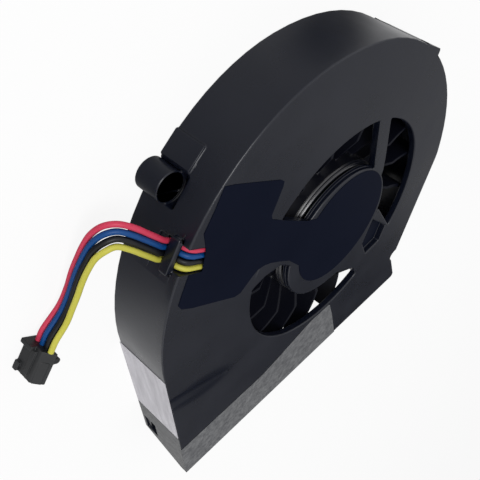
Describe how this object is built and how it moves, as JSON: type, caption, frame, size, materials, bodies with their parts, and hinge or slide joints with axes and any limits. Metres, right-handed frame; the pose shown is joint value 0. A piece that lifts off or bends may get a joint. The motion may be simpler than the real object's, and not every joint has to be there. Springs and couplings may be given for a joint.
{
  "type": "centrifugal blower fan",
  "caption": "Flat centrifugal blower with a scroll housing, side outlet, inlets on both faces, a bladed rotor on a brushless motor, and a short lead with a plug.",
  "frame": {"origin": "centre of the blower's box on the plane that the back cover lies on, without the free wires and the plug", "axes": "+Z along the spin axis from the back cover to the labelled face, -Y out of the outlet, -X towards the straight wall that the wires leave beside"},
  "size_m": [0.0961, 0.082, 0.0116],
  "materials": {
    "housing_plastic": "fine satin moulded dark grey plastic",
    "cover_plastic": "fine satin moulded dark grey plastic",
    "holder_brass": "turned brass",
    "sintered_bronze": "oil-filled sintered bronze",
    "bearing_plastic": "natural slide-bearing plastic",
    "lamination_steel": "punched silicon steel",
    "bobbin_plastic": "moulded insulator",
    "enamelled_copper": "wound enamelled copper wire",
    "board_laminate": "solder mask over glass-fibre laminate",
    "chip_plastic": "moulded epoxy",
    "chip_ceramic": "fired ceramic with tinned ends",
    "solder": "reflowed solder",
    "impeller_plastic": "satin moulded black plastic",
    "yoke_steel": "drawn plated steel",
    "bonded_magnet": "bonded ferrite",
    "shaft_steel": "ground steel",
    "label_film": "satin black polyester film, bare",
    "grey_foil": "dull grey foil tape with fine creases, bare",
    "pale_foil": "pale brushed foil tape",
    "red_insulation": "soft extruded insulation",
    "blue_insulation": "soft extruded insulation",
    "black_insulation": "soft extruded insulation",
    "yellow_insulation": "soft extruded insulation",
    "plug_plastic": "moulded black plastic",
    "contact_brass": "stamped tin-plated brass"
  },
  "bodies": {
    "housing": {"housing_shell": "housing_plastic", "face_plate": "housing_plastic", "post_boss": "housing_plastic", "tongue_boss": "housing_plastic", "back_cover": "cover_plastic", "bearing_holder": "holder_brass", "bearing_sleeve": "sintered_bronze", "thrust_pad": "bearing_plastic", "retaining_washer": "bearing_plastic", "stator_core": "lamination_steel", "bobbin_upper": "bobbin_plastic", "bobbin_lower": "bobbin_plastic", "coil_windings": "enamelled_copper", "circuit_board": "board_laminate", "driver_chip": "chip_plastic", "board_parts": "chip_ceramic", "solder_joints": "solder", "face_label": "label_film", "outlet_tape": "grey_foil", "side_tape": "pale_foil", "red_lead": "red_insulation", "blue_lead": "blue_insulation", "black_lead": "black_insulation", "yellow_lead": "yellow_insulation", "wire_red": "red_insulation", "wire_blue": "blue_insulation", "wire_black": "black_insulation", "wire_yellow": "yellow_insulation", "plug_housing": "plug_plastic", "plug_terminals": "contact_brass"},
    "rotor": {"impeller": "impeller_plastic", "rotor_yoke": "yoke_steel", "rotor_magnet": "bonded_magnet", "shaft": "shaft_steel"}
  },
  "joints": [
    {"name": "impeller_spin", "type": "hinge", "parent": "housing", "child": "rotor", "pos_m": [0.00475, -0.001, 0.006], "axis": [0, 0, 1], "continuous": true}
  ]
}
